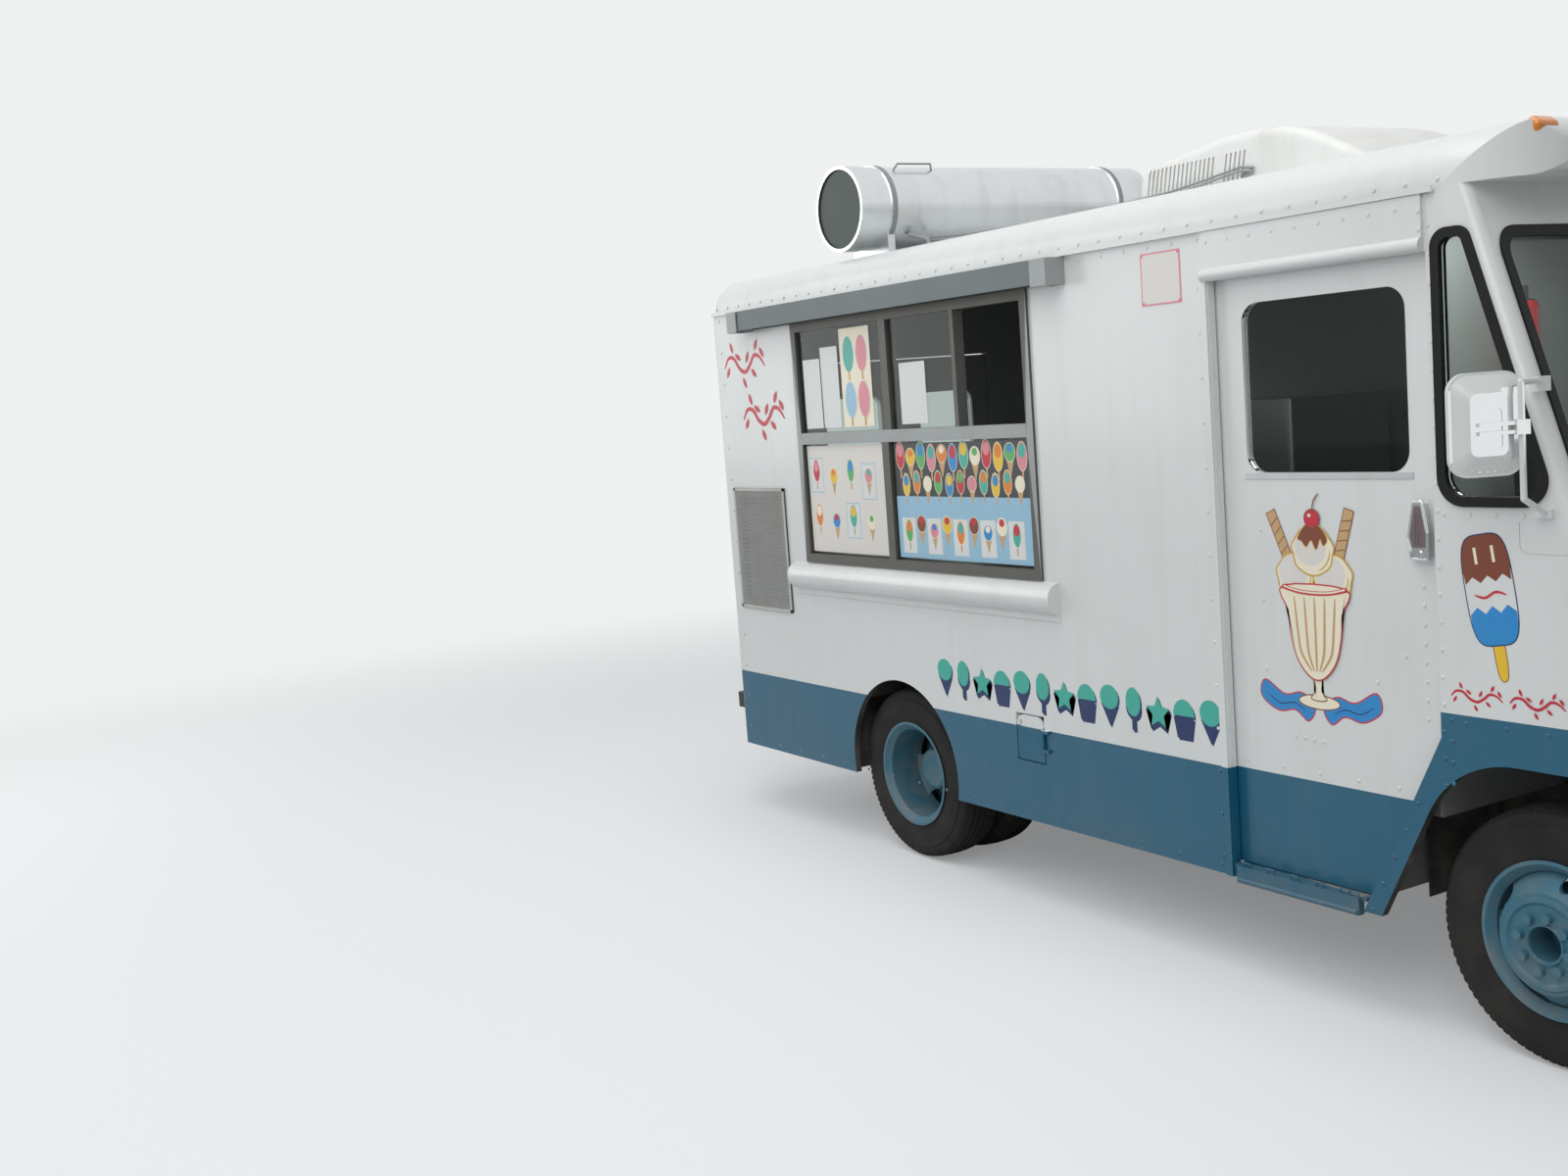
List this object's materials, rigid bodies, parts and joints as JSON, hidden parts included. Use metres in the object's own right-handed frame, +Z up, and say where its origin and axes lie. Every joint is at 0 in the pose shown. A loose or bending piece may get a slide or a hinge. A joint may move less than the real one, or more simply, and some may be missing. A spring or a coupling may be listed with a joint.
{
  "type": "ice cream truck",
  "caption": "Walk-in step van fitted out as an ice cream truck, with a serving window, sliding cab doors, steered front wheels, twin rear wheels and a roof tank.",
  "frame": {"origin": "on the ground under the middle of the truck's overall length and width", "axes": "+X towards the front bumper, +Y towards the street side, +Z up; the serving side faces -Y"},
  "size_m": [5.65, 2.9726, 3.256],
  "materials": {
    "white_plastic": "satin",
    "galvanised": "satin",
    "amber_plastic": "clear",
    "bumper_white": "gloss",
    "bumper_steel": "satin",
    "white_paint": "gloss",
    "glass": "clear",
    "black_rubber": "matt",
    "dash_black": "matt",
    "cast_iron": "rough",
    "exhaust_steel": "dull",
    "red_paint": "gloss",
    "grey_paint": "satin",
    "floor_grey": "satin",
    "chassis_black": "satin",
    "grille_aluminium": "satin",
    "lamp_glass": "clear",
    "tank_aluminium": "satin",
    "seat_vinyl": "satin",
    "aluminium": "brushed",
    "stainless": "brushed",
    "teal_paint": "gloss",
    "tyre_rubber": "matt",
    "mesh_white": "satin"
  },
  "bodies": {
    "truck": {"ac_unit": "white_plastic", "awning_box": "galvanised", "body_lamps": "amber_plastic", "bumper_front": "bumper_white", "bumper_rear": "bumper_steel", "cab_front": "white_paint", "cab_glass": "glass", "cab_rubbers": "black_rubber", "counter_rail": "white_paint", "cowl": "white_paint", "dash": "dash_black", "engine_block": "cast_iron", "engine_cover": "grey_paint", "exhaust": "exhaust_steel", "extinguisher": "red_paint", "firewall": "grey_paint", "floor": "floor_grey", "frame_rails": "chassis_black", "front_axle": "chassis_black", "fuel_tank": "chassis_black", "grille": "grille_aluminium", "headlamps": "lamp_glass", "mirrors": "white_paint", "partition": "white_paint", "rain_rails": "white_paint", "rear_axle": "chassis_black", "rear_frame": "white_paint", "roof": "white_paint", "roof_cap": "white_paint", "roof_tank": "tank_aluminium", "seat": "seat_vinyl", "serving_counter": "stainless", "serving_frame": "aluminium", "serving_glass": "glass", "side_curb": "white_paint", "side_street": "white_paint", "soft_serve_machine": "stainless", "steps": "teal_paint", "vent_panel": "mesh_white"},
    "hood": {"hood": "white_paint"},
    "fuel_flap": {"fuel_flap": "white_paint"},
    "door_curb": {"door_curb": "white_paint"},
    "door_street": {"door_street": "white_paint"},
    "rear_door_curb": {"rear_door_curb": "white_paint"},
    "rear_door_street": {"rear_door_street": "white_paint"},
    "knuckle_curb": {"knuckle_curb": "chassis_black"},
    "knuckle_street": {"knuckle_street": "chassis_black"},
    "tie_rod": {"tie_rod": "chassis_black"},
    "wheel_front_curb": {"wheel_front_curb": "teal_paint", "tyre_front_curb": "tyre_rubber"},
    "wheel_front_street": {"wheel_front_street": "teal_paint", "tyre_front_street": "tyre_rubber"},
    "wheels_rear_curb": {"wheels_rear_curb": "teal_paint", "tyres_rear_curb": "tyre_rubber"},
    "wheels_rear_street": {"wheels_rear_street": "teal_paint", "tyres_rear_street": "tyre_rubber"}
  },
  "joints": [
    {"name": "steering_curb", "type": "hinge", "parent": "truck", "child": "knuckle_curb", "pos_m": [2.125, -0.86, 0.4], "axis": [0, 0, 1], "range_deg": [-30, 30]},
    {"name": "steering_street", "type": "hinge", "parent": "truck", "child": "knuckle_street", "pos_m": [2.125, 0.86, 0.4], "axis": [0, 0, 1], "range_deg": [-30, 30]},
    {"name": "tie_rod_slide", "type": "slide", "parent": "truck", "child": "tie_rod", "axis": [0, 1, 0], "range_m": [-0.08, 0.08]},
    {"name": "wheel_front_curb_spin", "type": "hinge", "parent": "knuckle_curb", "child": "wheel_front_curb", "pos_m": [2.125, -0.9925, 0.4], "axis": [0, 1, 0], "continuous": true},
    {"name": "wheel_front_street_spin", "type": "hinge", "parent": "knuckle_street", "child": "wheel_front_street", "pos_m": [2.125, 0.9925, 0.4], "axis": [0, 1, 0], "continuous": true},
    {"name": "wheels_rear_curb_spin", "type": "hinge", "parent": "truck", "child": "wheels_rear_curb", "pos_m": [-1.155, -0.865, 0.4], "axis": [0, 1, 0], "continuous": true},
    {"name": "wheels_rear_street_spin", "type": "hinge", "parent": "truck", "child": "wheels_rear_street", "pos_m": [-1.155, 0.865, 0.4], "axis": [0, 1, 0], "continuous": true},
    {"name": "door_curb_slide", "type": "slide", "parent": "truck", "child": "door_curb", "axis": [-1, 0, 0], "range_m": [0, 0.77]},
    {"name": "door_street_slide", "type": "slide", "parent": "truck", "child": "door_street", "axis": [-1, 0, 0], "range_m": [0, 0.77]},
    {"name": "rear_door_curb_hinge", "type": "hinge", "parent": "truck", "child": "rear_door_curb", "pos_m": [-2.688, -0.62, 1.55], "axis": [0, 0, 1], "range_deg": [0, 110]},
    {"name": "rear_door_street_hinge", "type": "hinge", "parent": "truck", "child": "rear_door_street", "pos_m": [-2.688, 0.62, 1.55], "axis": [0, 0, 1], "range_deg": [-110, 0]},
    {"name": "hood_hinge", "type": "hinge", "parent": "truck", "child": "hood", "pos_m": [2.2975, 0, 1.663], "axis": [0, -1, 0], "range_deg": [0, 55]},
    {"name": "fuel_flap_hinge", "type": "hinge", "parent": "truck", "child": "fuel_flap", "pos_m": [-0.123, -1.158, 0.705], "axis": [0, 0, 1], "range_deg": [0, 100]}
  ],
  "couplings": [
    {"joint": "steering_street", "follows": "steering_curb", "ratio": 1},
    {"joint": "tie_rod_slide", "follows": "steering_curb", "m_per_rad": -0.143}
  ]
}
